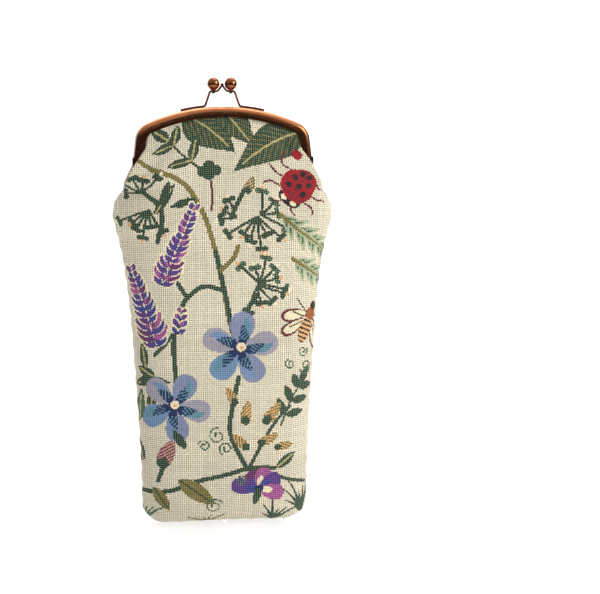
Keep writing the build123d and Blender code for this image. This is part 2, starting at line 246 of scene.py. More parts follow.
def new_mesh(name, verts_mm, faces):
    mesh = bpy.data.meshes.new(name)
    mesh.from_pydata((np.asarray(verts_mm) * MM).tolist(), [], [list(map(int, f)) for f in faces])
    mesh.update()
    for poly in mesh.polygons:
        poly.use_smooth = True
    obj = bpy.data.objects.new(name, mesh)
    bpy.context.scene.collection.objects.link(obj)
    return obj


def band(first, count):
    """The faces between one ring of vertices and the next."""
    pairs = ((first + j, first + (j + 1) % count) for j in range(count))
    return [[a, a + count, b + count, b] for a, b in pairs]


def normals_of(points):
    """Unit normals of a grid of points, turned away from the middle plane of the case."""
    across = np.gradient(points, axis=1)
    up = np.gradient(points, axis=0)
    n = np.cross(up, across)
    return n / np.maximum(np.linalg.norm(n, axis=2, keepdims=True), 1e-9)


# ---- The woven picture ----------------------------------------------------------------------
# Each crossing of the cloth takes one yarn colour: the motif's field, or a spot of its second yarn.

CELL = 0.45
WEAVE_ROWS = 415
WEAVE_HALF = 116

# Yarn pairs: the field, and the spots that show through it at every second crossing. Every third spot of
# the ground is darker.
GROUND = ("#ebe4cc", "#957b4c")
GROUND_DARK = "#6e5530"
GREEN = ("#13241a", "#6d8a68")
GREEN_MID = ("#2a4834", "#8aa580")
OLIVE = ("#665b2a", "#b5a968")
OLIVE_PALE = ("#b3a365", "#d8cc94")
SAGE = ("#b2ba96", "#87936f")
NAVY = ("#0e1638", "#2e4a88")
PERIWINKLE = ("#8d95b0", "#5a6485")
LILAC = ("#a9a5ad", "#77738a")
SKY = ("#7c98b6", "#456797")
TEAL = ("#6b96a4", "#3a6479")
PURPLE = ("#45296f", "#8a5fae")
VIOLET = ("#2f3078", "#6668b4")
PINK = ("#93397b", "#cf8fbc")
PLUM = ("#54244f", "#95508c")
PEACH = ("#dfa368", "#f4d3a0")
CREAM = ("#f5e9c6", "#dcc997")
RED = ("#ab111f", "#5e0a14")
INK = ("#170f10", "#3c2a28")
RUST = ("#a85f34", "#7a3b1f")
WINE = ("#561524", "#8c3843")


def tint(code):
    """Linear colour of a web colour code."""
    value = np.array([int(code[k:k + 2], 16) for k in (1, 3, 5)]) / 255.0
    return np.where(value <= 0.04045, value / 12.92, ((value + 0.055) / 1.055) ** 2.4)


def curve_through(points, step=0.3):
    """Closely spaced points on a smooth curve through given ones."""
    p = np.array(points, float)
    p = np.vstack([2 * p[0] - p[1], p, 2 * p[-1] - p[-2]])
    found = []
    for k in range(1, len(p) - 2):
        count = max(2, int(np.hypot(*(p[k + 1] - p[k])) / step))
        f = np.linspace(0, 1, count, endpoint=False)[:, None]
        a = 2 * p[k]
        b = p[k + 1] - p[k - 1]
        c = 2 * p[k - 1] - 5 * p[k] + 4 * p[k + 1] - p[k + 2]
        d = 3 * p[k] - p[k - 1] - 3 * p[k + 1] + p[k + 2]
        found.append(0.5 * (a + b * f + c * f**2 + d * f**3))
    found.append(p[-2:-1])
    return np.vstack(found)


def each(motif, *places):
    """The same motif at several places, woven in the order given."""
    for place in places:
        motif(*place)


def ahead(x, t, angle, unit=1.0):
    """Gives the point so many units along, and beside, a line that leaves (x, t) at an angle in degrees."""
    c, s = unit * math.cos(math.radians(angle)), unit * math.sin(math.radians(angle))
    return lambda along, beside=0.0: (x + along * c - beside * s, t + along * s + beside * c)


class Loom:
    """One panel's picture: x across from its middle and t up from its base, in millimetres."""

    def __init__(self, seed):
        self.random = np.random.default_rng(seed)
        x = (np.arange(2 * WEAVE_HALF) - WEAVE_HALF + 0.5) * CELL
        t = (np.arange(WEAVE_ROWS - 1) + 0.5) * CELL
        self.x, self.t = np.meshgrid(x, t)
        row, column = np.indices(self.x.shape)
        self.spots = (row % 2 == 0) & (column % 2 == 0)
        self.field, self.spot = (np.ones(self.x.shape + (3,)) * tint(code) for code in GROUND)
        self.spot[(row // 2 + column // 2) % 3 == 0] = tint(GROUND_DARK)

    def weave(self, mask, pair):
        self.field[mask] = tint(pair[0])
        self.spot[mask] = tint(pair[1])

    def local(self, x, t, angle):
        """How far each crossing is along and beside a line that leaves (x, t) at an angle."""
        turn = math.radians(angle)
        dx, dt = self.x - x, self.t - t
        return dx * math.cos(turn) + dt * math.sin(turn), dt * math.cos(turn) - dx * math.sin(turn)

    def stroke(self, points, width, pair, end=None):
        """A curved line of a width, which can taper to another width at its end."""
        line = curve_through(points)
        half = np.linspace(width, width if end is None else end, len(line)) / 2
        corners = np.stack([line.min(axis=0) - width, line.max(axis=0) + width + CELL]) / CELL
        corners = np.clip(corners + [WEAVE_HALF, 0], 0, [2 * WEAVE_HALF, WEAVE_ROWS - 1]).astype(int)
        window = slice(*corners[:, 1]), slice(*corners[:, 0])
        x, t = self.x[window][..., None], self.t[window][..., None]
        mask = np.zeros(self.x.shape, bool)
        mask[window] = (np.hypot(x - line[:, 0], t - line[:, 1]) - half).min(axis=2) <= 0
        self.weave(mask, pair)

    def shape(self, x, t, length, width, angle, pair, near=0.8, far=0.8, bend=0.0, share=(-1.0, 1.0)):
        """A leaf or petal from (x, t). near and far say how pointed its two ends are."""
        along, beside = self.local(x, t, angle)
        f = np.clip(along / length, 1e-6, 1 - 1e-6)
        peak = near / (near + far)
        profile = (f / peak) ** near * ((1 - f) / (1 - peak)) ** far
        beside = beside - bend * f * f
        side = beside / (width / 2 * profile)
        mask = (along > 0) & (along < length) & (side > share[0]) & (side < share[1])
        self.weave(mask, pair)
        return along, beside, mask

    def dot(self, x, t, radius, pair):
        self.weave(np.hypot(self.x - x, self.t - t) < radius, pair)

    def leaf(self, x, t, length, width, angle, pair=GREEN, vein=OLIVE_PALE, bend=0.0, ribs=0.0):
        along, beside, mask = self.shape(x, t, length, width, angle, pair, 0.7, 1.25 if ribs else 0.9, bend)
        core = mask & (along < 0.86 * length)
        if width > 4.0:
            self.weave(core & (np.abs(beside) < 0.36), vein)
        if ribs:
            slope = np.abs(beside) * 1.5 - along
            near_rib = np.abs(slope % ribs - ribs / 2) < 0.34
            self.weave(core & near_rib & (np.abs(beside) < 0.4 * width) & (np.abs(beside) > 0.5), OLIVE)

    def broad_leaf(self, x, t, length, width, angle, bend, ribs=3.4):
        self.leaf(x, t, length, width, angle, bend=bend, ribs=ribs)

    def flower(self, x, t, size, turn):
        """A flower of five petals with dark streaks round a pale middle."""
        for k in range(5):
            angle = turn + 72.0 * k
            start = ahead(x, t, angle)(1.1)
            self.shape(*start, size, 0.68 * size, angle, (PERIWINKLE, LILAC, SKY)[k % 3], 0.8, 0.45)
            inner = (*start, 0.86 * size, 0.54 * size, angle, (TEAL, SKY)[k % 2], 1.1, 0.6)
            self.shape(*inner, share=(-0.9, -0.15))
            heart = (*start, 0.64 * size, 0.44 * size, angle, NAVY, 0.6, 0.9)
            along, beside, mask = self.shape(*heart, share=(-1.0, 0.3))
            self.weave(mask & ((along + beside) % 1.8 < 0.7) & (along > 0.2 * size), TEAL)
        self.dot(x, t, 0.17 * size, NAVY)
        self.dot(x + 0.5, t + 0.9, 0.13 * size, CREAM)
        self.dot(x + 0.7, t + 0.6, 0.055 * size, PEACH)

    def lavender(self, x, t, length, angle, width):
        """A spike of small florets, fullest near its foot, whose tip is at the end of the length."""
        at = ahead(x, t, angle, length)
        count = int(length / 2.6)
        pairs = (PURPLE, VIOLET, PINK, PURPLE, PLUM, VIOLET)
        self.stroke([at(0), at(1)], 1.3, GREEN)
        for k in range(count):
            f = k / count
            reach = width * (0.62 - 0.4 * f) * (1.0 if k % 4 else 0.72)
            for side in (1, -1):
                pick = pairs[int(self.random.integers(len(pairs)))]
                foot = at(f, -0.4 * side / length)
                way = angle - side * (50 - 22 * f)
                self.shape(*foot, reach + 0.8, 0.42 * reach + 2.0, way, CREAM, 0.6, 0.7)
                self.shape(*foot, reach, 0.42 * reach + 0.8, way, pick, 0.6, 0.7)
                self.shape(*foot, 0.7 * reach, 1.3, way + 8 * side, pairs[(k + side) % 6], 0.7, 0.7)

    def umbel(self, x, t, size, angle, rays, spread, tip=GREEN):
        """Thin stalks that fan out from one point, each with a knot of small buds."""
        for k in range(rays):
            way = angle + spread * (k / (rays - 1) - 0.5)
            reach = size * (0.78 + 0.22 * math.cos(2.3 * k))
            at = ahead(x, t, way)
            bow_x, bow_t = at(0.5 * reach)
            self.stroke([(x, t), (bow_x + 0.4 * math.sin(math.radians(way)), bow_t), at(reach)], 1.15, GREEN)
            for side in (-1, 0, 1):
                self.dot(*at(reach + 0.5, -1.6 * side), 1.2, tip if side else GREEN)
            self.dot(*at(reach + 2.3), 0.8, PEACH if k % 2 else CREAM)

    def sprig(self, x, t, length, angle, pairs, leaf, pair=GREEN):
        at = ahead(x, t, angle)
        self.stroke([(x, t), at(0.5 * length, 0.8), at(length)], 0.9, pair)
        for k in range(pairs):
            f = (k + 0.7) / pairs
            for side in (1, -1):
                self.leaf(*at(f * length), leaf * (1.05 - 0.25 * f), 0.42 * leaf, angle + side * 52, pair)
        self.leaf(*at(length), leaf, 0.44 * leaf, angle, pair)

    def ladybird(self, x, t, size, turn):
        at = ahead(x, t, turn, size)
        for side in (1, -1):
            for along, out, back in ((0.32, 0.66, 0.5), (0.05, 0.78, 0.02), (-0.25, 0.7, -0.52)):
                leg = [at(along, side * 0.35), at(along + 0.04, side * 0.56), at(back, side * out)]
                self.stroke(leg, 0.85, WINE)
            self.stroke([at(0.5, side * 0.1), at(0.68, side * 0.16), at(0.74, side * 0.3)], 0.7, WINE)
        along, beside = self.local(x, t, turn)
        self.weave(np.hypot((along - 0.45 * size) / (0.2 * size), beside / (0.27 * size)) < 1, INK)
        for side in (1, -1):
            self.dot(*at(0.5, side * 0.12), 0.075 * size, CREAM)
        shell = np.hypot(along / (0.47 * size), beside / (0.42 * size)) < 1
        self.weave(shell, RED)
        self.weave(shell & ((np.abs(beside) < 0.25) | (np.abs(along - 0.31 * size) < 0.35)), WINE)
        self.dot(*at(-0.02), 0.075 * size, INK)
        for a, b in ((0.13, 0.2), (-0.16, 0.19), (-0.34, 0.09)):
            for side in (1, -1):
                self.dot(*at(a, side * b), 0.075 * size, INK)

    def bee(self, x, t, size, turn):
        at = ahead(x, t, turn, size)
        for side in (1, -1):
            for back, way in ((0.12, 118), (-0.02, 140)):
                foot, angle = at(back, 0.08 * side), turn + side * way
                for length, width, pair in ((0.62, 0.27, WINE), (0.56, 0.19, CREAM)):
                    self.shape(*foot, length * size, width * size, angle, pair, 0.8, 0.4)
            for a, b in ((0.3, 0.45), (0.02, 0.42), (-0.3, 0.36)):
                self.stroke([at(0.05), at(0.5 * a, side * 0.2), at(a, side * b)], 0.6, INK)
        along, _, mask = self.shape(*at(-0.52), 0.6 * size, 0.3 * size, turn, PEACH, 0.5, 0.5)
        self.weave(mask & (along % 1.9 < 0.85), INK)
        self.dot(*at(0.12), 0.13 * size, RUST)
        self.dot(*at(0.3), 0.085 * size, INK)

    def tendril(self, x, t, radius, angle, hand=1, turns=1.3):
        f = np.linspace(0, 1, 26)
        way = np.radians(angle) + hand * f * turns * 2 * math.pi
        reach = radius * (1 - 0.75 * f)
        cx, ct = x - radius * math.cos(way[0]), t - radius * math.sin(way[0])
        self.stroke(np.stack([cx + reach * np.cos(way), ct + reach * np.sin(way)], axis=1), 0.7, GREEN_MID)

    def bud(self, x, t, length, angle, width=0.42, pair=OLIVE):
        along, beside, mask = self.shape(x, t, length, width * length, angle, pair, 0.55, 0.8)
        self.weave(mask & ((along + 1.4 * beside) % 2.1 < 0.8), PEACH)
        self.shape(x, t, 0.4 * length, 0.8 * width * length, angle, GREEN, 0.5, 0.9)

    def feather(self, x, t, length, angle, width=13.0):
        """A leaf cut into narrow lobes on both sides of its rib."""
        at = ahead(x, t, angle, length)
        count = int(length / 3.3)
        for k in range(count):
            f = (k + 0.4) / count
            reach = width * (0.75 - 0.5 * abs(f - 0.35))
            for side in (1, -1):
                way = angle + side * (34 + 14 * (k % 2))
                self.shape(*at(f), reach, 2.7, way, SAGE, 0.6, 0.8)
                self.shape(*at(f), 0.7 * reach, 1.0, way, GREEN_MID, 0.6, 0.9)
        self.shape(x, t, 1.12 * length, 3.2, angle, SAGE, 0.5, 0.8)
        self.stroke([at(0), at(0.95)], 2.0, OLIVE, 0.6)

    def pea_flower(self, x, t, size, turn):
        for k, (way, pair) in enumerate(((110, PLUM), (62, PINK), (20, PURPLE), (-28, PINK), (158, PURPLE))):
            self.shape(x, t, size * (0.62 + 0.05 * k), 0.5 * size, turn + way, pair, 0.7, 0.4)
            self.shape(x, t, 0.4 * size, 0.2 * size, turn + way + 8, (VIOLET, CREAM)[k % 2], 0.8, 0.5)
        self.dot(x, t, 0.12 * size, NAVY)
        self.shape(x, t, 0.55 * size, 0.24 * size, turn - 115, GREEN, 0.5, 0.8)

    def grass(self, x, t, blades, length, angle, fan, pair=GREEN):
        for k in range(blades):
            way = math.radians(angle + fan * (k / (blades - 1) - 0.5))
            reach = length * (0.75 + 0.25 * math.cos(1.9 * k))
            dx, dt = reach * math.cos(way), reach * math.sin(way)
            blade = [(x, t), (x + 0.5 * dx, t + 0.55 * dt), (x + 1.05 * dx, t + 0.9 * dt)]
            self.stroke(blade, 1.9, pair, 0.5)

    def colours(self):
        """One colour per crossing, with the uneven dye and wear of real yarn."""
        colour = np.where(self.spots[..., None], self.spot, self.field)
        per_row = self.random.normal(0, 0.03, (colour.shape[0], 1))
        per_column = self.random.normal(0, 0.03, (1, colour.shape[1]))
        speck = self.random.normal(0, 0.055, colour.shape[:2])
        return colour * np.clip(1 + per_row + per_column + speck, 0.7, 1.3)[..., None]


def front_picture():
    loom = Loom(11)
    # Long stems come first, so that flowers and leaves lie over them.
    tall = [(-38, 175), (-27, 166), (-16.5, 157), (-9, 143), (-4.3, 127), (-1.2, 112), (0.8, 99), (3.5, 88)]
    each(
        loom.stroke,
        (tall, 2.0, OLIVE),
        ([(-4.2, 127), (-2.6, 118), (-0.6, 109), (1.2, 99), (2.8, 90)], 2.0, GREEN),
        ([(-0.8, 110), (-9, 112), (-16, 107), (-20.5, 98), (-21.8, 86), (-21, 72), (-19.5, 60)], 2.0, GREEN),
        ([(-16, 107), (-19, 112), (-23, 119)], 1.8, GREEN),
        ([(-21.5, 92), (-26, 86), (-30, 82)], 1.6, GREEN),
        ([(5, 72), (2.5, 60), (1.5, 47), (8, 32)], 2.0, GREEN),
        ([(-20, 50), (-24, 40), (-29, 26)], 1.9, GREEN),
        ([(-38, 21), (-25, 21.5), (-13, 26), (-2, 28.5), (10, 31.5), (20, 31)], 2.0, GREEN),
        ([(9, 31), (18, 28.5), (27, 25), (35, 23)], 1.6, GREEN),
        ([(9, 31), (14, 41), (20, 51), (27, 58)], 1.5, GREEN),
        ([(-33, 157), (-27, 150), (-26, 141), (-28, 133)], 2.0, GREEN),
        ([(5, 129), (3, 124), (-2, 119)], 2.0, OLIVE),
        ([(13, 108), (7, 99), (4, 90)], 2.0, GREEN),
    )
    # Under the frame: broad leaves and a leafy twig.
    each(
        loom.broad_leaf, (-16, 188, 28, 17, -38, -2.5), (-1, 190, 22, 13, -58, 2.0),
        (33, 187, 40, 14.5, 218, 2.5, 3.6),
    )
    loom.dot(30, 174.5, 2.2, RED)
    loom.sprig(-8.5, 161, 22, 130, 2, 10.5)
    # A clover head on its thin stalk.
    loom.stroke([(-6.5, 160), (-5.4, 152), (-5.8, 145)], 0.9, WINE)
    for x, t in ((-9.0, 161.5), (-6.6, 163.6), (-4.0, 161.6), (-6.6, 160.0)):
        loom.dot(x, t, 2.4, GREEN)
    # Left: umbels and lavender.
    each(loom.umbel, (-35, 157, 9.5, 110, 5, 140), (-31, 149, 14, 248, 6, 92))
    each(loom.leaf, (-29, 146, 15, 4.2, 56), (-26, 150, 11, 3.6, 74), (-12, 150, 11, 3.4, 190))
    each(loom.lavender, (-26.5, 113, 38, 68, 12.0), (-29, 86, 37, 108, 15.0), (-20, 92, 12, 80, 7.0))
    each(loom.leaf, (-30, 72, 10, 4.6, 200), (-30, 72, 9, 4.4, 150), (-31, 66, 9, 4.2, 262))
    loom.stroke([(-24, 70), (-30, 72), (-36, 70)], 1.2, GREEN)
    # Middle: two umbels off the tall stem.
    loom.stroke([(2, 141), (5, 148), (9, 156)], 1.8, GREEN)
    loom.bud(8.4, 152, 8, 66, 0.5, GREEN_MID)
    each(
        loom.umbel, (4, 141.5, 7.5, 150, 3, 80), (14.5, 143, 10.5, 32, 4, 110, GREEN_MID),
        (13, 142, 14, 266, 6, 108), (13.5, 113, 11.5, 60, 6, 150, GREEN_MID), (13, 112, 11.5, 296, 4, 92),
    )
    # Right: ladybird, feathered leaves and bee.
    loom.ladybird(30.5, 159.5, 18.0, 240)
    each(loom.feather, (23, 144, 27, -38), (28, 124, 20, -34, 12))
    loom.bee(36.5, 96, 21, 66)
    # Lower half: the two big flowers, buds and tendrils.
    each(loom.flower, (5.5, 84.5, 15.2, 84), (-22, 59.5, 14.4, 62))
    each(loom.leaf, (-34, 76, 11, 4.2, 100), (-38, 52, 15, 5.0, 84, GREEN_MID), (-36, 34, 11, 4.2, 106))
    loom.sprig(23, 50, 20, 62, 3, 9.0)
    each(loom.tendril, (32, 74, 3.4, 200), (36, 83, 2.6, 20, -1), (26, 79, 2.4, 120))
    each(
        loom.bud, (7.5, 51, 11, 82), (15.5, 51, 12, 52), (4, 60, 9, 118), (13, 42, 10, 26), (9, 40, 10, 134),
        (20, 40, 9, 8),
    )
    each(loom.tendril, (-4, 50, 3.6, 90), (-1.5, 38, 3.0, 250, -1), (-12, 43, 2.6, 160, -1))
    loom.bud(-28, 32, 14, 66, 0.5, PLUM)
    each(
        loom.leaf, (-17, 41, 10, 3.8, 124), (-20, 27, 19, 7.5, -38, OLIVE, GREEN),
        (-31, 23, 13, 5.2, -56, OLIVE, GREEN),
    )
    loom.pea_flower(13.5, 22, 14.5, 10)
    loom.leaf(21, 31, 11, 4.4, 36)
    each(loom.tendril, (-2, 16, 3.8, 30, 1, 1.5), (4, 25, 2.4, 220))
    each(
        loom.grass, (20, 4, 6, 15, 84, 90), (33, 9, 6, 20, 104, 64), (-36, 6, 5, 15, 78, 70, GREEN_MID),
        (-8, 3, 4, 10, 95, 100, OLIVE),
    )
    return loom.colours()


def back_picture():
    """The other side is cut from the same cloth, further along its repeat."""
    loom = Loom(23)
    each(
        loom.stroke,
        ([(34, 160), (22, 146), (13, 128), (6, 104), (3, 80), (-3, 52), (-6, 26), (-4, 0)], 1.9, OLIVE),
        ([(6, 104), (14, 96), (20, 84), (21, 68), (17, 50)], 1.6, GREEN),
        ([(3, 80), (-8, 84), (-18, 80), (-25, 66)], 1.6, GREEN),
        ([(-36, 30), (-22, 34), (-8, 30), (8, 34), (22, 28), (34, 32)], 1.4, GREEN),
    )
    each(
        loom.broad_leaf, (18, 190, 30, 15, -140, 2.0), (-30, 188, 33, 15, -30, -2.0),
        (-4, 190, 22, 12, -84, 0.0),
    )
    loom.sprig(10, 156, 20, 60, 2, 10)
    each(loom.umbel, (-20, 152, 13, 100, 7, 150), (31, 140, 13, 280, 6, 120), (-33, 140, 10, 250, 5, 110))
    loom.stroke([(-20, 152), (-14, 138), (-8, 120), (4, 104)], 1.9, GREEN)
    loom.ladybird(-30, 119, 17, 120)
    each(loom.lavender, (16, 108, 36, 100, 13), (-34, 72, 34, 80, 13), (28, 84, 18, 96, 9))
    each(loom.flower, (-10, 104, 14, 40), (20, 62, 14.5, 100), (-20, 57, 13.5, 10))
    each(loom.feather, (-40, 166, 24, -28), (24, 116, 22, 14, 11), (4, 140, 20, 64, 11))
    loom.bee(2, 74, 19, 140)
    each(loom.sprig, (4, 40, 20, 70, 3, 9), (-34, 96, 14, 96, 2, 7, GREEN_MID))
    each(
        loom.tendril, (-2, 84, 3.6, 80), (34, 92, 3.0, 200, -1), (-38, 48, 3.0, 20), (38, 44, 3.0, 160),
        (-2, 18, 3.4, 40, 1, 1.5),
    )
    each(
        loom.bud, (-12, 36, 12, 60), (-20, 34, 11, 120), (-6, 32, 10, 30), (34, 36, 11, 96), (26, 34, 10, 60),
    )
    each(loom.leaf, (-28, 34, 14, 6, -60, OLIVE, GREEN), (14, 32, 16, 6.5, -50, OLIVE, GREEN))
    each(loom.pea_flower, (-20, 18, 14, 160), (26, 20, 14, 20))
    each(
        loom.grass, (8, 3, 6, 17, 92, 90), (-35, 5, 5, 16, 84, 70), (35, 5, 5, 16, 96, 60, GREEN_MID),
        (-8, 3, 4, 11, 90, 100, OLIVE),
    )
    return loom.colours()


# ---- How the cloth settles ------------------------------------------------------------------

DRAPE_ROWS, DRAPE_COLUMNS = 73, 37
DRAPE_SCALE = 0.01
DRAPE_FRAMES = 22
DRAPE_NOISE = 0.12
# No point moves further than the limit, and each direction takes only its share of the movement.
DRAPE_LIMIT = 1.9
DRAPE_SHARE = (0.25, 1.0, 0.15)
# The cloth is held by the frame above, hardest at the last height, and at the hinges beyond a half width.
HELD_HEIGHTS = (150.0, 161.0)
HELD_LEAST = 0.12
CROWN_GAP = 1.5
HINGE_HELD_X = (30.0, 34.0)
HINGE_HELD_RISE = 6.0
OUTWARD = {side: np.array([1.0, sign, 1.0]) for side, sign in SIDES.items()}


def drape_mesh(sheets):
    """One mesh of both sides, joined along the seams, and where each grid point is in it."""
    rows, columns = DRAPE_ROWS, DRAPE_COLUMNS
    front = np.arange(rows * columns).reshape(rows, columns)
    back = front + rows * columns
    sewn = sheets["front"][:, 0, 2] < SEAM_TOP
    back[sewn, 0] = front[sewn, 0]
    back[sewn, -1] = front[sewn, -1]
    back[0] = front[0]
    points = np.concatenate([sheets["front"].reshape(-1, 3), sheets["back"].reshape(-1, 3)])
    points[front[sewn][:, [0, -1]].ravel(), 1] = 0.0
    points[front[0], 1] = 0.0
    faces = np.concatenate([
        front.ravel()[grid_faces(rows, columns)], back.ravel()[grid_faces(rows, columns, flip=True)],
    ])
    used, renumbered = np.unique(faces, return_inverse=True)
    lookup = np.full(len(points), -1)
    lookup[used] = np.arange(len(used))
    return points[used], renumbered.reshape(faces.shape), {"front": lookup[front], "back": lookup[back]}


def settle(points, faces):
    """Where the joined cloth's points come to rest when it is filled with soft padding."""
    random = np.random.default_rng(5)
    start = (points + random.normal(0, DRAPE_NOISE, points.shape)) * DRAPE_SCALE
    mesh = bpy.data.meshes.new("drape")
    mesh.from_pydata(start.tolist(), [], faces.tolist())
    obj = bpy.data.objects.new("drape", mesh)
    bpy.context.scene.collection.objects.link(obj)
    pins = obj.vertex_groups.new(name="pins")
    out, height = np.abs(points[:, 0]), points[:, 2]
    under_crown = height + crown_drop(np.minimum(out, CORNER_X), LIP) - CROWN_GAP
    hold = HELD_LEAST + (1 - HELD_LEAST) * smooth(*HELD_HEIGHTS, under_crown)
    at_hinge = smooth(SEAM_TOP - HINGE_HELD_RISE, SEAM_TOP, height) * smooth(*HINGE_HELD_X, out)
    hold = np.maximum(hold, at_hinge)
    for index, weight in enumerate(hold):
        pins.add([index], float(weight), "REPLACE")
    cloth = obj.modifiers.new("cloth", "CLOTH").settings
    cloth.quality = 6
    cloth.mass = 0.3
    cloth.tension_stiffness = cloth.compression_stiffness = 20.0
    cloth.shear_stiffness = 6.0
    cloth.bending_stiffness = 1.2
    cloth.shrink_min = -0.03
    cloth.use_pressure = True
    cloth.uniform_pressure_force = 3.0
    cloth.vertex_group_mass = pins.name
    cloth.pin_stiffness = 0.35
    cloth.effector_weights.gravity = 0.0
    scene = bpy.context.scene
    scene.frame_start, scene.frame_end = 1, DRAPE_FRAMES
    for frame_number in range(1, DRAPE_FRAMES + 1):
        scene.frame_set(frame_number)
    settled = obj.evaluated_get(bpy.context.evaluated_depsgraph_get()).data
    co = np.zeros(len(settled.vertices) * 3, np.float32)
    settled.vertices.foreach_get("co", co)
    scene.frame_set(1)
    bpy.data.objects.remove(obj)
    return co.reshape(-1, 3) / DRAPE_SCALE


def drape():
    """How far each side's coarse grid moves when the cloth settles, outwards from the middle plane."""
    plain = surface(DRAPE_COLUMNS, DRAPE_ROWS)["points"]
    sheets = {side: plain * OUTWARD[side] for side in SIDES}
    points, faces, lookup = drape_mesh(sheets)
    moved = settle(points, faces) - points
    size = np.linalg.norm(moved, axis=1, keepdims=True)
    moved *= np.minimum(1.0, DRAPE_LIMIT / np.maximum(size, 1e-9))
    moved *= DRAPE_SHARE
    return {side: moved[lookup[side]] * OUTWARD[side] for side in SIDES}


def cubic_weights(value, count):
    place = np.clip(value, 0, 1) * (count - 1)
    base = np.minimum(place.astype(int), count - 2)
    return [np.clip(base + k - 1, 0, count - 1) for k in range(4)], cubic_parts(place - base)


def spread(field, v, u):
    """A coarse grid's values as a smooth field, at v up and u across, both from 0 to 1."""
    rows, row_weights = cubic_weights(v, field.shape[0])
    lines = sum(w[:, None, None] * field[r] for r, w in zip(rows, row_weights))
    columns, column_weights = cubic_weights(u, field.shape[1])
    line = np.arange(len(v))[:, None]
    return sum(w[..., None] * lines[line, c] for c, w in zip(columns, column_weights))


# Soft dents and folds: x, z, width, height, slant in degrees, and how far the cloth moves out.
DENTS = {
    "front": [
        (26.0, 158.5, 2.4, 6.5, 38.0, -1.8), (30.5, 152.0, 2.6, 8.0, 32.0, 0.55),
        (-29.0, 153.0, 3.0, 9.0, -32.0, -0.5), (-24.5, 161.0, 6.0, 3.0, 20.0, 0.35),
        (36.0, 112.0, 4.0, 14.0, 8.0, -0.35), (-34.0, 92.0, 4.0, 16.0, -6.0, -0.4),
        (2.0, 34.0, 20.0, 10.0, 12.0, 0.35), (-10.0, 122.0, 16.0, 12.0, -20.0, 0.3),
    ],
    "back": [
        (-24.0, 158.0, 3.2, 8.0, -35.0, -0.8), (28.0, 152.0, 3.0, 9.0, 32.0, -0.5),
        (5.0, 60.0, 18.0, 14.0, -15.0, 0.4), (-33.0, 100.0, 4.0, 15.0, -6.0, -0.4),
        (14.0, 24.0, 16.0, 8.0, 20.0, -0.3),
    ],
}
# The seams pucker at a pitch, to a depth and over a reach, in a groove of their own. The side seams' puckers
# drift by an angle over a length, and fade out below the top of the seam.
PUCKER_PITCH = 7.5
PUCKER_DEPTH = 0.4
PUCKER_REACH = 3.5
PUCKER_DRIFT, PUCKER_DRIFT_LENGTH = 1.7, 19.0
PUCKER_FADE = 8.0
GROOVE_DEPTH = 0.75
GROOVE_REACH = 0.9


def layer(side, depth, **grid):
    """One layer of the pouch at a depth under its outside, draped and creased, where it is in the scene."""
    found = surface(depth=depth, **grid)
    points, across, up = found["points"], found["across"], found["up"]
    u = 0.5 + 0.5 * across / found["reach"][:, None]
    points = points + spread(DRAPE[side], up[:, 0] / up[-1, 0], u)
    n = normals_of(points)
    x, z = points[..., 0], points[..., 2]
    out = np.zeros_like(x)
    for cx, cz, wide, tall, slant, lift in DENTS[side]:
        turn = math.radians(slant)
        a = (x - cx) * math.cos(turn) + (z - cz) * math.sin(turn)
        b = (z - cz) * math.cos(turn) - (x - cx) * math.sin(turn)
        out += lift * np.exp(-((a / wide) ** 2) - (b / tall) ** 2)
    to_seam = found["reach"][:, None] - np.abs(across)
    drift = PUCKER_DRIFT * np.sin(up / PUCKER_DRIFT_LENGTH) + np.sign(across)
    wave = 0.5 + 0.5 * np.cos(2 * math.pi * up / PUCKER_PITCH + drift)
    sewn = smooth(SEAM_TOP, SEAM_TOP - PUCKER_FADE, z)
    out -= PUCKER_DEPTH * wave * np.exp(-((to_seam / PUCKER_REACH) ** 2)) * sewn
    out -= GROOVE_DEPTH * np.exp(-((to_seam / GROOVE_REACH) ** 2)) * sewn
    from_base = PUCKER_DEPTH * (0.5 + 0.5 * np.cos(2 * math.pi * across / PUCKER_PITCH))
    out -= from_base * np.exp(-((up / PUCKER_REACH) ** 2))
    found["normals"] = n * OUTWARD[side]
    found["points"] = (points + n * out[..., None]) * OUTWARD[side]
    return found


# ---- Meshes for the layers --------------------------------------------------------------------

def clean_quads(quads):
    """Quads whose sides have shrunk to a point become triangles, and those with no area go."""
    faces, kept = [], []
    for k, (a, b, c, d) in enumerate(quads.tolist()):
        ring = [v for v, before in zip((a, b, c, d), (d, a, b, c)) if v != before]
        if len(set(ring)) >= 3:
            faces.append(ring)
            kept.append(k)
    return faces, np.array(kept)


THREAD_LIFT = 0.1
PANEL_THICK = 0.8
INNER_STEP = 6
UNDERSIDE = "#a89a78"
LAYER_ROWS, LAYER_COLUMNS = 150, 97


def paint(mesh, name, colours, per_face):
    """A colour on each face, stored on the face's corners."""
    attribute = mesh.color_attributes.new(name, "FLOAT_COLOR", "CORNER")
    loops = np.repeat(per_face, [len(p.vertices) for p in mesh.polygons])
    rgba = np.ones((len(loops), 4), np.float32)
    rgba[:, :3] = colours[loops]
    attribute.data.foreach_set("color", rgba.ravel())


def mark_weave(mesh, across, up):
    """Where each vertex is in the flat cloth, for the weave's pattern."""
    flat = np.stack([across, up, np.zeros_like(up)], axis=1).astype(np.float32)
    mesh.attributes.new("weave", "FLOAT_VECTOR", "POINT").data.foreach_set("vector", flat.ravel())


def with_lift(points, normals, lift):
    """A grid of points, raised and sunk by turns like the crossings of a plain weave."""
    r, c = np.indices(points.shape[:2])
    return points + normals * (lift * (((r + c) % 2) - 0.5))[..., None]


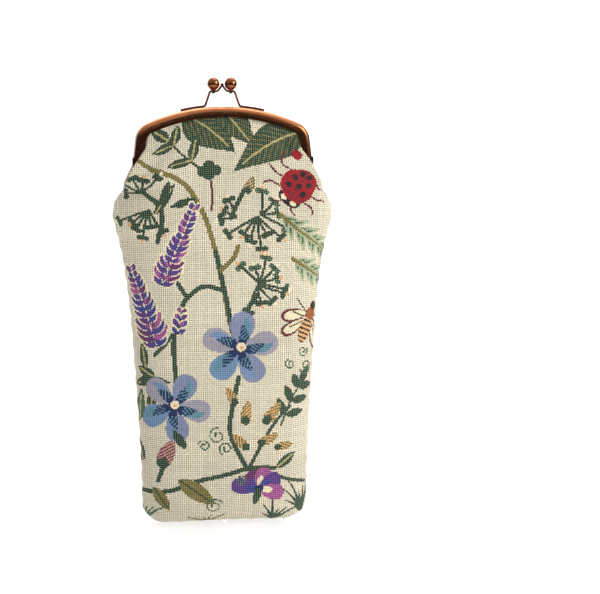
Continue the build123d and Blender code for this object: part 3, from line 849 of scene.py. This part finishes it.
def outer_panel(side, picture):
    """The woven outside: every crossing of two yarns is a face, raised or sunk, over a plain underside."""
    grid = layer(side, 0.0, columns=2 * WEAVE_HALF + 1, rows=WEAVE_ROWS, pitch=CELL)
    points, normals, reach = grid["points"], grid["normals"], grid["reach"]
    rows, columns = points.shape[:2]
    edge = np.ceil(reach / CELL - 1e-6).astype(int)
    column = np.clip(np.arange(columns)[None, :], WEAVE_HALF - edge[:, None], WEAVE_HALF + edge[:, None])
    place = np.arange(rows)[:, None] * columns + column
    top = with_lift(points, normals, THREAD_LIFT)
    under = (points - normals * PANEL_THICK)[::INNER_STEP]
    under_place = rows * columns + np.arange(len(under))[:, None] * columns + column[::INNER_STEP]
    flip = side == "back"
    faces, cells = clean_quads(place.ravel()[grid_faces(rows, columns, flip=flip)])
    inner, _ = clean_quads(under_place.ravel()[grid_faces(len(under), columns, flip=not flip)])
    rim = []
    for k in range(len(under) - 1):
        span = range(k * INNER_STEP, (k + 1) * INNER_STEP + 1)
        for edge_column, turn in ((0, True), (columns - 1, False)):
            ring = [place[i, edge_column] for i in span]
            ring += [under_place[k + 1, edge_column], under_place[k, edge_column]]
            rim.append(ring[::-1] if turn == flip else ring)
    for row, under_row, turn in ((0, 0, True), (rows - 1, len(under) - 1, False)):
        for j in range(WEAVE_HALF - edge[row], WEAVE_HALF + edge[row]):
            ring = [*place[row, j:j + 2], *under_place[under_row, j:j + 2][::-1]]
            if len(set(ring)) == 4:
                rim.append(ring if turn == flip else ring[::-1])
    verts = np.concatenate([top.reshape(-1, 3), under.reshape(-1, 3)])
    across, up = (np.concatenate([grid[k].ravel(), grid[k][::INNER_STEP].ravel()]) for k in ("across", "up"))
    every = faces + inner + rim
    used = np.unique(np.concatenate([np.array(f) for f in every]))
    lookup = np.zeros(len(verts), int)
    lookup[used] = np.arange(len(used))
    obj = new_mesh(side + "_tapestry", verts[used], [lookup[f] for f in every])
    colours = picture[:, ::-1] if flip else picture
    colours = np.concatenate([colours.reshape(-1, 3), tint(UNDERSIDE)[None, :]])
    plain = np.full(len(inner) + len(rim), len(colours) - 1)
    paint(obj.data, "yarn", colours, np.concatenate([cells, plain]))
    mark_weave(obj.data, across[used] / CELL, up[used] / CELL)
    return obj


def plain_layer(name, side, depth, thick, rib):
    """A closed layer with an outside, a ribbed inside and turned edges."""
    outside, inside = (
        layer(side, at, rows=LAYER_ROWS, columns=LAYER_COLUMNS, hem=True) for at in (depth, depth + thick)
    )
    under = with_lift(inside["points"], outside["normals"], rib)
    flip = side == "back"
    index = np.arange(LAYER_ROWS * LAYER_COLUMNS).reshape(LAYER_ROWS, LAYER_COLUMNS)
    count = index.size
    faces = grid_faces(*index.shape, flip=flip).tolist() + grid_faces(*index.shape, count, not flip).tolist()
    for line, turn in ((index[:, 0], True), (index[:, -1], False), (index[0], False), (index[-1], True)):
        for a, b in zip(line[:-1].tolist(), line[1:].tolist()):
            ring = [a, b, b + count, a + count]
            faces.append(ring if turn != flip else ring[::-1])
    obj = new_mesh(name, np.concatenate([outside["points"].reshape(-1, 3), under.reshape(-1, 3)]), faces)
    mark_weave(obj.data, *(np.tile(outside[k].ravel(), 2) for k in ("across", "up")))
    return obj


STITCH_SIDES = 8
STITCH_RINGS = 9
STITCH_SLANT = 0.35
STITCH_SINK = 0.6


def stitches(name, path, outward, pitch, reach, radius):
    """A row of small arched stitches across a seam, along a path of points with the way out at each."""
    run = np.concatenate([[0.0], np.cumsum(np.linalg.norm(np.diff(path, axis=0), axis=1))])
    count = int(run[-1] / pitch)
    verts, faces = [], []
    for k in range(count):
        at = (k + 0.5) * run[-1] / count
        centre = np.array([np.interp(at, run, path[:, i]) for i in range(3)])
        out = np.array([np.interp(at, run, outward[:, i]) for i in range(3)])
        out /= np.linalg.norm(out)
        f = np.linspace(-1, 1, STITCH_RINGS)[:, None]
        slant = np.cross(out, [0, 1.0, 0]) * STITCH_SLANT
        arch = out * radius * ((1 + STITCH_SINK) * np.cos(f * math.pi / 2) - STITCH_SINK)
        line = centre + f * np.array([0, reach, 0]) + f * slant + arch
        first = len(verts)
        for ring, point in enumerate(line):
            along = line[min(ring + 1, STITCH_RINGS - 1)] - line[max(ring - 1, 0)]
            along /= np.linalg.norm(along)
            side = np.cross(along, out)
            side /= np.linalg.norm(side)
            high = np.cross(side, along)
            fat = radius * math.sqrt(max(1 - float(f[ring, 0]) ** 6, 0.06))
            for j in range(STITCH_SIDES):
                turn = 2 * math.pi * j / STITCH_SIDES
                verts.append(point + fat * (math.cos(turn) * side + math.sin(turn) * high))
        for ring in range(STITCH_RINGS - 1):
            faces += band(first + ring * STITCH_SIDES, STITCH_SIDES)
        last = first + (STITCH_RINGS - 1) * STITCH_SIDES
        faces += [list(range(first, first + STITCH_SIDES)), list(range(last, last + STITCH_SIDES))[::-1]]
    return new_mesh(name, np.array(verts), faces)


# ---- Materials -------------------------------------------------------------------------------

class Nodes:
    """A material's node tree, with short calls for the nodes used here."""

    def __init__(self, name):
        self.material = bpy.data.materials.new(name)
        self.material.use_nodes = True
        self.tree = self.material.node_tree
        self.shader = self.tree.nodes["Principled BSDF"]

    def add(self, kind, **settings):
        node = self.tree.nodes.new(kind)
        for key, value in settings.items():
            setattr(node, key, value)
        return node

    def link(self, out, into):
        self.tree.links.new(out, into)

    def feed(self, socket, value):
        if isinstance(value, bpy.types.NodeSocket):
            self.link(value, socket)
        else:
            socket.default_value = value

    def math(self, operation, a, b=0.0):
        node = self.add("ShaderNodeMath", operation=operation)
        for socket, value in zip(node.inputs, (a, b)):
            self.feed(socket, value)
        return node.outputs[0]

    def sine(self, a):
        return self.math("SINE", a)

    def times(self, a, b):
        return self.math("MULTIPLY", a, b)

    def plus(self, a, b):
        return self.math("ADD", a, b)

    def radius(self, a, b):
        return self.math("SQRT", self.plus(self.times(a, a), self.times(b, b)))

    def noise(self, scale, detail=3.0, rough=0.6, vector=None):
        node = self.add("ShaderNodeTexNoise")
        node.inputs["Scale"].default_value = scale
        node.inputs["Detail"].default_value = detail
        node.inputs["Roughness"].default_value = rough
        self.link(vector or self.place(), node.inputs["Vector"])
        return node.outputs["Fac"]

    def place(self):
        return self.add("ShaderNodeTexCoord").outputs["Object"]

    def attribute(self, name, output):
        return self.add("ShaderNodeAttribute", attribute_name=name).outputs[output]

    def split(self, vector):
        node = self.add("ShaderNodeSeparateXYZ")
        self.link(vector, node.inputs[0])
        return node.outputs

    def ramp(self, value, low, high, to_low=0.0, to_high=1.0):
        node = self.add("ShaderNodeMapRange", interpolation_type="SMOOTHSTEP")
        for socket, setting in zip(node.inputs, (value, low, high, to_low, to_high)):
            self.feed(socket, setting)
        return node.outputs[0]

    def mix(self, factor, a, b, blend="MIX"):
        node = self.add("ShaderNodeMix", data_type="RGBA", blend_type=blend)
        self.feed(node.inputs["Factor"], factor)
        self.feed(node.inputs["A"], self.colour(a))
        self.feed(node.inputs["B"], self.colour(b))
        return node.outputs["Result"]

    def colour(self, value):
        return value if isinstance(value, bpy.types.NodeSocket) else (*tint(value), 1.0)

    def grey(self, value):
        node = self.add("ShaderNodeCombineColor")
        for socket in node.inputs:
            self.link(value, socket)
        return node.outputs[0]

    def bump(self, height, strength, distance):
        node = self.add("ShaderNodeBump")
        node.inputs["Strength"].default_value = strength
        node.inputs["Distance"].default_value = distance
        self.link(height, node.inputs["Height"])
        self.link(node.outputs[0], self.shader.inputs["Normal"])

    def set(self, **values):
        for name, value in values.items():
            self.feed(self.shader.inputs[name.replace("_", " ")], value)
        return self.material


def tapestry_material():
    """Cotton jacquard: the painted yarn colours, each yarn rounded, fuzzy and unevenly dyed, with painted
    shade between the crossings and a faint painted highlight on their crowns.
    """
    n = Nodes("tapestry")
    s, t, _ = n.split(n.attribute("weave", "Vector"))
    swell_s, swell_t = (n.math("ABSOLUTE", n.sine(n.times(k, math.pi))) for k in (s, t))
    swell = n.times(swell_s, swell_t)
    twist = n.sine(n.times(n.plus(s, n.times(t, 2.0)), 2 * math.pi))
    fuzz = n.noise(2600.0, 2.0, 0.7)
    dye = n.noise(55.0, 4.0, 0.6)
    # Painted shade: the colour darkens in the gaps between crossings and lifts a little on their crowns,
    # times the fibre fuzz and the uneven dye.
    shade = n.times(n.ramp(swell, 0.0, 0.55, 0.72, 1.06), n.ramp(fuzz, 0.25, 0.75, 0.86, 1.1))
    shade = n.times(shade, n.ramp(dye, 0.3, 0.7, 0.93, 1.05))
    colour = n.mix(1.0, n.attribute("yarn", "Color"), n.grey(shade), "MULTIPLY")
    n.bump(n.plus(swell, n.plus(n.times(twist, 0.12), n.times(fuzz, 0.5))), 0.45, 0.00018)
    rough = n.ramp(fuzz, 0.2, 0.8, 0.78, 0.95)
    return n.set(Base_Color=colour, Roughness=rough, Sheen_Weight=0.12, Sheen_Roughness=0.5)


def plain_weave_material(name, warp, weft, pitch):
    """A plain woven cloth, whose threads are pitch millimetres apart."""
    n = Nodes(name)
    s, t, _ = n.split(n.attribute("weave", "Vector"))
    wave_s, wave_t = (n.sine(n.times(k, math.pi / pitch)) for k in (s, t))
    wave = n.times(wave_s, wave_t)
    fuzz = n.noise(1900.0, 3.0, 0.7)
    dye = n.noise(40.0, 3.0)
    colour = n.mix(n.ramp(wave, -0.25, 0.25), warp, weft)
    shade = n.times(n.ramp(fuzz, 0.2, 0.8, 0.86, 1.05), n.ramp(dye, 0.3, 0.7, 0.92, 1.04))
    n.bump(n.plus(wave, n.times(fuzz, 0.8)), 0.4, 0.0001)
    colour = n.mix(1.0, colour, n.grey(shade), "MULTIPLY")
    return n.set(Base_Color=colour, Roughness=n.ramp(fuzz, 0.2, 0.8, 0.75, 0.95), Sheen_Weight=0.1)


def wadding_material():
    n = Nodes("wadding")
    clumps = n.noise(420.0, 5.0, 0.75)
    fibre = n.noise(3200.0, 2.0, 0.8)
    n.bump(n.plus(clumps, n.times(fibre, 0.4)), 0.8, 0.0006)
    colour = n.mix(n.ramp(clumps, 0.3, 0.7), "#d8d3c6", "#f4f1ea")
    return n.set(Base_Color=colour, Roughness=n.ramp(fibre, 0.2, 0.8, 0.85, 1.0), Sheen_Weight=0.3)


def thread_material():
    n = Nodes("sewing_thread")
    _, y, z = n.split(n.place())
    twist = n.sine(n.times(n.plus(y, n.times(z, 1.6)), 14000.0))
    fuzz = n.noise(5200.0, 2.0)
    n.bump(n.plus(twist, fuzz), 0.5, 0.00005)
    colour = n.mix(n.ramp(twist, -0.8, 0.8), "#b8a67c", "#e3d6b2")
    return n.set(Base_Color=colour, Roughness=n.ramp(fuzz, 0.2, 0.8, 0.5, 0.75))


def paper_material():
    n = Nodes("paper_cord")
    x, y, z = n.split(n.place())
    twist = n.sine(n.times(n.plus(x, n.plus(y, z)), 4200.0))
    fibre = n.noise(1500.0, 4.0, 0.7)
    n.bump(n.plus(n.times(twist, 0.7), fibre), 0.7, 0.00012)
    colour = n.mix(n.ramp(fibre, 0.3, 0.7), "#a98a5f", "#d2b88a")
    return n.set(Base_Color=colour, Roughness=n.ramp(fibre, 0.2, 0.8, 0.7, 0.95))


def copper_material(name, bright, dark, patina_and_reflection, rough):
    """Plated steel with an antique copper finish. The darkening's socket comes from the node tree: random
    patina on the clasp and rivets, painted reflection on the frame.
    """
    n = Nodes(name)
    clouds = n.noise(160.0, 5.0, 0.65)
    fine = n.noise(2400.0, 3.0, 0.7)
    x, y, z = n.split(n.place())
    brushed = n.add("ShaderNodeCombineXYZ")
    for socket, value, stretch in zip(brushed.inputs, (x, y, z), (300.0, 4000.0, 4000.0)):
        n.link(n.times(value, stretch), socket)
    scratch = n.noise(1.0, 3.0, 0.7, brushed.outputs[0])
    patina_and_reflection_dark = n.times(patina_and_reflection(n, x, z), n.ramp(clouds, 0.25, 0.65, 0.75, 1.0))
    colour = n.mix(n.ramp(clouds, 0.45, 0.8, 0.0, 0.25), n.mix(patina_and_reflection_dark, bright, dark), dark)
    wear = n.plus(n.ramp(scratch, 0.3, 0.8, 0.0, 0.12), n.ramp(clouds, 0.3, 0.8, -0.03, 0.1))
    n.bump(n.plus(scratch, n.times(fine, 0.4)), 0.12, 0.00005)
    return n.set(Base_Color=colour, Metallic=1.0, Roughness=n.plus(n.times(patina_and_reflection_dark, 0.12), n.plus(wear, rough)))


# Painted reflection: the frame's outside darkens between two depths in from it, and its legs between two
# heights, standing in for the dark room the metal would mirror.
REFLECTION_DARK_BAND = (2.2, 3.2)
REFLECTION_DARK_LEGS = (168.5, 162.5)


def frame_painted_reflection(n, x, z):
    """Painted reflection: dark in the fold next to the cloth and down the legs, bright copper on the crown's
    outer band.
    """
    radius = n.radius(x, n.math("SUBTRACT", z, (ARCH_TOP - CROWN_RADIUS) * MM))
    fold = n.ramp(radius, *((CROWN_RADIUS - depth) * MM for depth in REFLECTION_DARK_BAND))
    legs = n.ramp(z, *(height * MM for height in REFLECTION_DARK_LEGS))
    return n.math("MAXIMUM", fold, legs)


def even_patina(amount):
    return lambda n, x, z: n.ramp(n.noise(700.0, 4.0, 0.7), 0.4, 0.75, 0.0, amount)


# ---- Floor, light and camera --------------------------------------------------------------------

def aim(obj, target):
    obj.rotation_mode = "QUATERNION"
    obj.rotation_quaternion = (Vector(target) - obj.location).to_track_quat("-Z", "Y")


CAMERA_AZIMUTH, CAMERA_ELEVATION = math.radians(-8.0), math.radians(7.5)
CAMERA_DISTANCE = 0.7
CAMERA_TARGET = Vector((0.0323, 0.0, 0.0954))
LIGHT_TARGET = (0.0, 0.0, 0.1)


def add_camera():
    data = bpy.data.cameras.new("camera")
    data.lens = 100.0
    data.sensor_width = 36.0
    obj = bpy.data.objects.new("camera", data)
    bpy.context.scene.collection.objects.link(obj)
    level = math.cos(CAMERA_ELEVATION)
    back = Vector((
        math.sin(CAMERA_AZIMUTH) * level, -math.cos(CAMERA_AZIMUTH) * level, math.sin(CAMERA_ELEVATION),
    ))
    obj.location = CAMERA_TARGET + back * CAMERA_DISTANCE
    aim(obj, CAMERA_TARGET)
    bpy.context.scene.camera = obj


def add_light(name, place, size, power, colour=(1.0, 1.0, 1.0)):
    data = bpy.data.lights.new(name, "AREA")
    data.energy = power
    data.shape = "RECTANGLE"
    data.size, data.size_y = size
    data.color = colour
    obj = bpy.data.objects.new(name, data)
    bpy.context.scene.collection.objects.link(obj)
    obj.location = place
    aim(obj, LIGHT_TARGET)


FLOOR_RADIUS = 3000.0
INNER_RADIUS = 450.0
FLOOR_HEIGHT = -0.05
STAGE_STEPS = 96


def stage_material(name, glow_near, glow_far):
    """A pale surface with some light of its own, more of it further from the case."""
    n = Nodes(name)
    x, y, _ = n.split(n.place())
    n.shader.inputs["Specular IOR Level"].default_value = 0.0
    return n.set(
        Base_Color=n.mix(n.ramp(n.noise(3.0), 0.3, 0.7), "#b4b4b3", "#bcbcbc"), Roughness=0.9,
        Emission_Strength=n.ramp(n.radius(x, y), 0.12, 1.2, glow_near, glow_far),
        Emission_Color=(1.0, 1.0, 1.0, 1.0),
    )


def stage_rings(name, rings, material):
    """A surface of turned rings, each given by its radius and height in millimetres."""
    turn = np.linspace(0, 2 * math.pi, STAGE_STEPS, endpoint=False)
    verts = np.concatenate([
        np.column_stack([radius * np.cos(turn), radius * np.sin(turn), np.full(STAGE_STEPS, height)])
        for radius, height in rings
    ])
    faces = [face for k in range(len(rings) - 1) for face in band(k * STAGE_STEPS, STAGE_STEPS)]
    obj = new_mesh(name, verts, faces)
    obj.data.materials.append(material)
    return obj


def add_stage():
    """A pale floor, and a pale wall far behind it. The metal mirrors only the floor close to the case."""
    ground = stage_material("floor", 0.6, 1.0)
    inner = stage_rings("floor", [(1.0, FLOOR_HEIGHT), (INNER_RADIUS, FLOOR_HEIGHT)], ground)
    outer = stage_rings("floor_far", [(INNER_RADIUS, FLOOR_HEIGHT), (FLOOR_RADIUS, FLOOR_HEIGHT)], ground)
    wall = stage_rings(
        "backdrop", [(FLOOR_RADIUS, -900.0), (FLOOR_RADIUS, 2500.0), (900.0, 4200.0)],
        stage_material("backdrop", 1.02, 1.02),
    )
    outer.visible_glossy = False
    wall.visible_glossy = wall.visible_diffuse = wall.visible_shadow = False


# From and to a direction's height or depth, and the brightness at each.
SKY_GLOW = (-0.12, 0.6, 0.03, 0.6)
WALL_GLOW = (0.2, 0.85, 0.0, 1.6)


def add_world():
    """A bright sky and a bright wall behind, and a dim room low in front, for the metal to reflect."""
    world = bpy.data.worlds.new("world")
    bpy.context.scene.world = world
    world.use_nodes = True
    tree = world.node_tree
    place = tree.nodes.new("ShaderNodeTexCoord")
    split = tree.nodes.new("ShaderNodeSeparateXYZ")
    total = tree.nodes.new("ShaderNodeMath")
    tree.links.new(place.outputs["Generated"], split.inputs[0])
    for k, (axis, limits) in enumerate(((2, SKY_GLOW), (1, WALL_GLOW))):
        ramp = tree.nodes.new("ShaderNodeMapRange")
        ramp.interpolation_type = "SMOOTHSTEP"
        for socket, value in zip(list(ramp.inputs)[1:5], limits):
            socket.default_value = value
        tree.links.new(split.outputs[axis], ramp.inputs[0])
        tree.links.new(ramp.outputs[0], total.inputs[k])
    tree.links.new(total.outputs[0], tree.nodes["Background"].inputs[1])
    tree.nodes["Background"].inputs[0].default_value = (0.97, 0.98, 1.0, 1.0)


# ---- The case -------------------------------------------------------------------------------------

PADDING_DEPTH, PADDING_THICK, PADDING_RIB = 1.05, 2.2, 0.1
LINING_DEPTH, LINING_THICK, LINING_RIB = 3.5, 0.45, 0.04


def bend(obj, side):
    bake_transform(obj)


def build_cloth():
    tapestry = tapestry_material()
    wadding = wadding_material()
    lining_cloth = plain_weave_material("lining_cloth", "#b9a886", "#e6dcc3", 0.5)
    pictures = {"front": front_picture(), "back": back_picture()}
    for side in SIDES:
        outer = outer_panel(side, pictures[side])
        outer.data.materials.append(tapestry)
        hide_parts(f"{side}_outer_panel", f"{side}_outer_panel_top")
        bend(outer, side)
        padding = plain_layer(f"{side}_wadding", side, PADDING_DEPTH, PADDING_THICK, PADDING_RIB)
        padding.data.materials.append(wadding)
        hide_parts(f"{side}_padding", f"{side}_padding_top")
        bend(padding, side)
        lining = plain_layer(f"{side}_lining_cloth", side, LINING_DEPTH, LINING_THICK, LINING_RIB)
        lining.data.materials.append(lining_cloth)
        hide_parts(f"{side}_lining", f"{side}_lining_top")
        bend(lining, side)


# Heights between which a side seam is sewn, outside and in the lining, and the columns that a corner takes.
SEAM_START, LINING_SEAM_START, THREAD_TOP = 4.0, 8.0, 136.0
CORNER_COLUMNS = 8
STITCH_PITCH, STITCH_REACH, STITCH_RADIUS, STITCH_STAND = 2.6, 0.6, 0.15, 0.1


def seam_line(depth, low, side):
    """Points down a side seam, and the way out of it, from the layer at a depth."""
    grid = layer("front", depth, rows=LAYER_ROWS, columns=LAYER_COLUMNS)
    edge = grid["points"][:, -1 if side > 0 else 0]
    keep = (edge[:, 2] >= low) & (edge[:, 2] <= THREAD_TOP)
    path = edge[keep] * [1, 0, 1]
    along = np.gradient(path, axis=0)
    out = np.stack([along[:, 2], 0 * along[:, 0], -along[:, 0]], axis=1) * side
    return path, out


def base_line():
    grid = layer("front", 0.0, rows=LAYER_ROWS, columns=LAYER_COLUMNS)
    path = grid["points"][0, CORNER_COLUMNS:-CORNER_COLUMNS] * [1, 0, 1]
    return path, np.tile([0.0, 0.0, -1.0], (len(path), 1))


def build_threads():
    thread = thread_material()
    inside_right, inside_left = (seam_line(LINING_DEPTH, LINING_SEAM_START, side) for side in (1, -1))
    inside = [np.concatenate([left[::-1], right]) for left, right in zip(inside_left, inside_right)]
    jobs = {
        "right": seam_line(0.0, SEAM_START, 1), "left": seam_line(0.0, SEAM_START, -1), "bottom": base_line(),
        "lining": inside,
    }
    for place, (path, out) in jobs.items():
        path = path + STITCH_STAND * out / np.linalg.norm(out, axis=1, keepdims=True)
        obj = stitches(place + "_seam_stitches", path, out, STITCH_PITCH, STITCH_REACH, STITCH_RADIUS)
        obj.data.materials.append(thread)
        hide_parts(place + "_seam_thread")
        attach(obj, "pouch")


def dress_metal():
    strip = copper_material("strip_copper", "#a9613e", "#3a2118", even_patina(0.7), 0.2), "clasp_strip"
    # The balls' copper is a darker copy of the frame's: painted shade standing in for the dark room their
    # round faces mirror.
    ball = copper_material("ball_copper_painted_dark", "#9c6141", "#3d2116", even_patina(0.45), 0.06), "clasp_ball"
    rivet = copper_material("rivet_copper", "#b87a55", "#40261b", even_patina(0.8), 0.25), "rivet"
    finishes = {
        # The frame's copper carries a painted reflection: dark under the crown's outer band and down the
        # legs.
        "frame": (copper_material("frame_copper", "#d98a5c", "#4a2a1c", frame_painted_reflection, 0.16), "frame_metal"),
        "clasp_foot": strip, "clasp_arm": strip, "clasp_ball": ball, "ball_cup": ball, "hinge_rivet": rivet,
        "channel_cord": (paper_material(), "paper_cord"),
    }
    for name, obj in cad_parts.items():
        if obj.hide_render:
            continue
        material, slot = next(v for k, v in finishes.items() if name.endswith(k))
        obj.data.materials.clear()
        obj.data.materials.append(material)


DRAPE = drape()
build_cloth()
build_threads()
dress_metal()
add_stage()
add_world()
add_camera()
add_light("key", (0.92, -0.62, 0.55), (0.7, 0.7), 9.2, (1.0, 0.985, 0.96))
add_light("fill", (-0.9, -0.55, 0.35), (0.8, 0.8), 0.2, (0.95, 0.97, 1.0))
add_light("top", (0.1, 0.15, 1.1), (0.9, 0.6), 3.6)
bpy.context.scene.view_settings.view_transform = "Standard"
